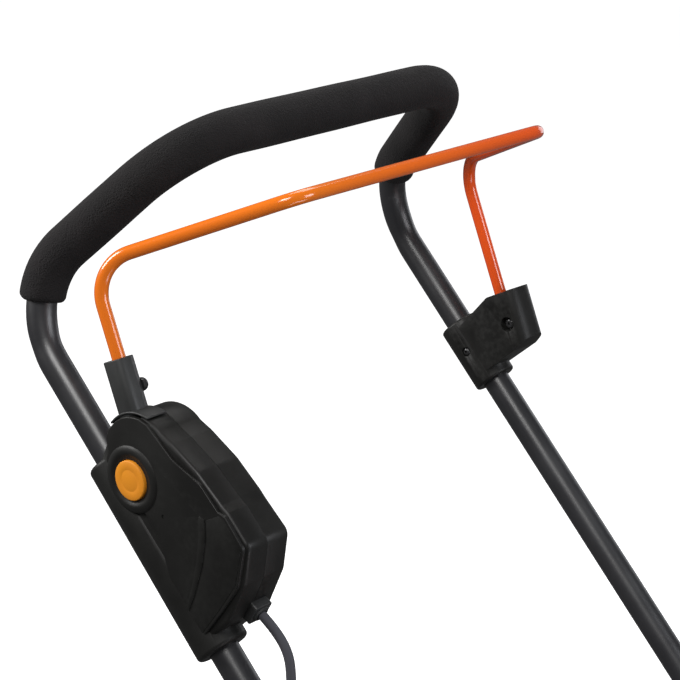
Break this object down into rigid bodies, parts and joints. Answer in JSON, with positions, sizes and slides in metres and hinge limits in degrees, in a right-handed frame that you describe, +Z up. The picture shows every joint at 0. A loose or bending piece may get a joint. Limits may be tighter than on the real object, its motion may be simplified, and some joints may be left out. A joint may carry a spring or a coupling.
{
  "type": "push lawn mower",
  "caption": "Cordless push lawn mower with a bent tube handle, foam grip, dead-man bail and switch box, folding upper handle, plastic deck, spinning blade and rear grass box.",
  "frame": {"origin": "on the ground, below the middle of the mower's box", "axes": "+Y rearward, towards the operator; +X to the operator's left; +Z up"},
  "size_m": [0.4724, 1.1368, 1.0597],
  "materials": {
    "tube_paint": "satin charcoal powder coat",
    "foam": "matte closed-cell foam",
    "bail_paint": "gloss orange paint",
    "black_plastic": "fine-textured moulded plastic",
    "orange_plastic": "matte moulded plastic",
    "deck_plastic": "satin moulded plastic",
    "cable_jacket": "smooth rubber jacket",
    "steel": "zinc-plated steel",
    "tyre_rubber": "ribbed tread rubber",
    "hub_plastic": "grey moulded plastic"
  },
  "bodies": {
    "base": {"deck_shell": "deck_plastic", "motor_cover": "black_plastic", "motor_cable_gland": "black_plastic", "battery_pack": "black_plastic", "motor_can": "steel", "front_axle": "steel", "rear_axle": "steel", "flap_rod": "steel", "lower_tube_right": "tube_paint", "lower_tube_left": "tube_paint", "fold_bolt_right": "steel", "fold_bolt_left": "steel", "handle_socket_right": "black_plastic", "handle_socket_left": "black_plastic", "cable_lower": "cable_jacket", "cable_clip_3": "black_plastic", "cable_clip_4": "black_plastic"},
    "upper_handle": {"upper_handle_tube": "tube_paint", "foam_grip": "foam", "switch_box_outer": "black_plastic", "switch_box_inner": "black_plastic", "bail_pivot_pin": "steel", "switch_module": "black_plastic", "cable_gland": "black_plastic", "bail_bracket": "black_plastic", "bail_bracket_pin": "steel", "bracket_screw": "steel", "clamp_screw": "steel", "cable_upper": "cable_jacket", "cable_clip_1": "black_plastic", "cable_clip_2": "black_plastic"},
    "bail": {"bail_bar": "bail_paint", "bail_socket": "black_plastic", "bail_socket_bolt": "steel"},
    "button": {"lock_button": "orange_plastic"},
    "lever_right": {"cam_lever_right": "black_plastic"},
    "lever_left": {"cam_lever_left": "black_plastic"},
    "blade_set": {"motor_shaft": "steel", "blade_adapter": "black_plastic", "blade": "steel", "blade_bolt": "steel"},
    "flap": {"rear_flap": "black_plastic"},
    "door": {"battery_door": "black_plastic"},
    "key": {"safety_key": "orange_plastic"},
    "grass_box": {"grass_box_lower": "black_plastic", "grass_box_upper": "black_plastic", "grass_box_handle": "black_plastic"},
    "wheel_front_left": {"front_left_tyre": "tyre_rubber", "front_left_hub": "hub_plastic"},
    "wheel_front_right": {"front_right_tyre": "tyre_rubber", "front_right_hub": "hub_plastic"},
    "wheel_rear_left": {"rear_left_tyre": "tyre_rubber", "rear_left_hub": "hub_plastic"},
    "wheel_rear_right": {"rear_right_tyre": "tyre_rubber", "rear_right_hub": "hub_plastic"}
  },
  "joints": [
    {"name": "handle_fold", "type": "hinge", "parent": "base", "child": "upper_handle", "pos_m": [0, 0.11552, 0.4325], "axis": [1, 0, 0], "range_deg": [0, 125], "deforming": ["cable_upper", "cable_lower"]},
    {"name": "bail_squeeze", "type": "hinge", "parent": "upper_handle", "child": "bail", "pos_m": [0, 0.43734, 0.83528], "axis": [-1, 0, 0], "range_deg": [0, 20], "stiffness_Nm_per_rad": 1.5, "springref_deg": -20.05},
    {"name": "lock_button_press", "type": "slide", "parent": "upper_handle", "child": "button", "axis": [1, 0, 0], "range_m": [0, 0.003], "stiffness_N_per_m": 600},
    {"name": "cam_lever_right_swing", "type": "hinge", "parent": "base", "child": "lever_right", "pos_m": [-0.2234, 0.11552, 0.4325], "axis": [0, 0.7305, -0.683], "range_deg": [0, 90]},
    {"name": "cam_lever_left_swing", "type": "hinge", "parent": "base", "child": "lever_left", "pos_m": [0.2234, 0.11552, 0.4325], "axis": [0, -0.7305, 0.683], "range_deg": [0, 90]},
    {"name": "blade_spin", "type": "hinge", "parent": "base", "child": "blade_set", "pos_m": [0, -0.30839, 0.05], "axis": [0, 0, 1], "continuous": true},
    {"name": "flap_lift", "type": "hinge", "parent": "base", "child": "flap", "pos_m": [0, -0.04639, 0.238], "axis": [1, 0, 0], "range_deg": [0, 70]},
    {"name": "battery_door_open", "type": "hinge", "parent": "base", "child": "door", "pos_m": [0, -0.29541, 0.29174], "axis": [-1, 0, 0], "range_deg": [0, 80]},
    {"name": "safety_key_pull", "type": "slide", "parent": "base", "child": "key", "axis": [0, -0.2181, 0.9759], "range_m": [0, 0.022]},
    {"name": "grass_box_draw", "type": "slide", "parent": "base", "child": "grass_box", "axis": [0, 1, 0], "range_m": [0, 0.25]},
    {"name": "wheel_front_left_roll", "type": "hinge", "parent": "base", "child": "wheel_front_left", "pos_m": [0, -0.49339, 0.075], "axis": [1, 0, 0], "continuous": true},
    {"name": "wheel_front_right_roll", "type": "hinge", "parent": "base", "child": "wheel_front_right", "pos_m": [0, -0.49339, 0.075], "axis": [1, 0, 0], "continuous": true},
    {"name": "wheel_rear_left_roll", "type": "hinge", "parent": "base", "child": "wheel_rear_left", "pos_m": [0, -0.11339, 0.09], "axis": [1, 0, 0], "continuous": true},
    {"name": "wheel_rear_right_roll", "type": "hinge", "parent": "base", "child": "wheel_rear_right", "pos_m": [0, -0.11339, 0.09], "axis": [1, 0, 0], "continuous": true}
  ]
}
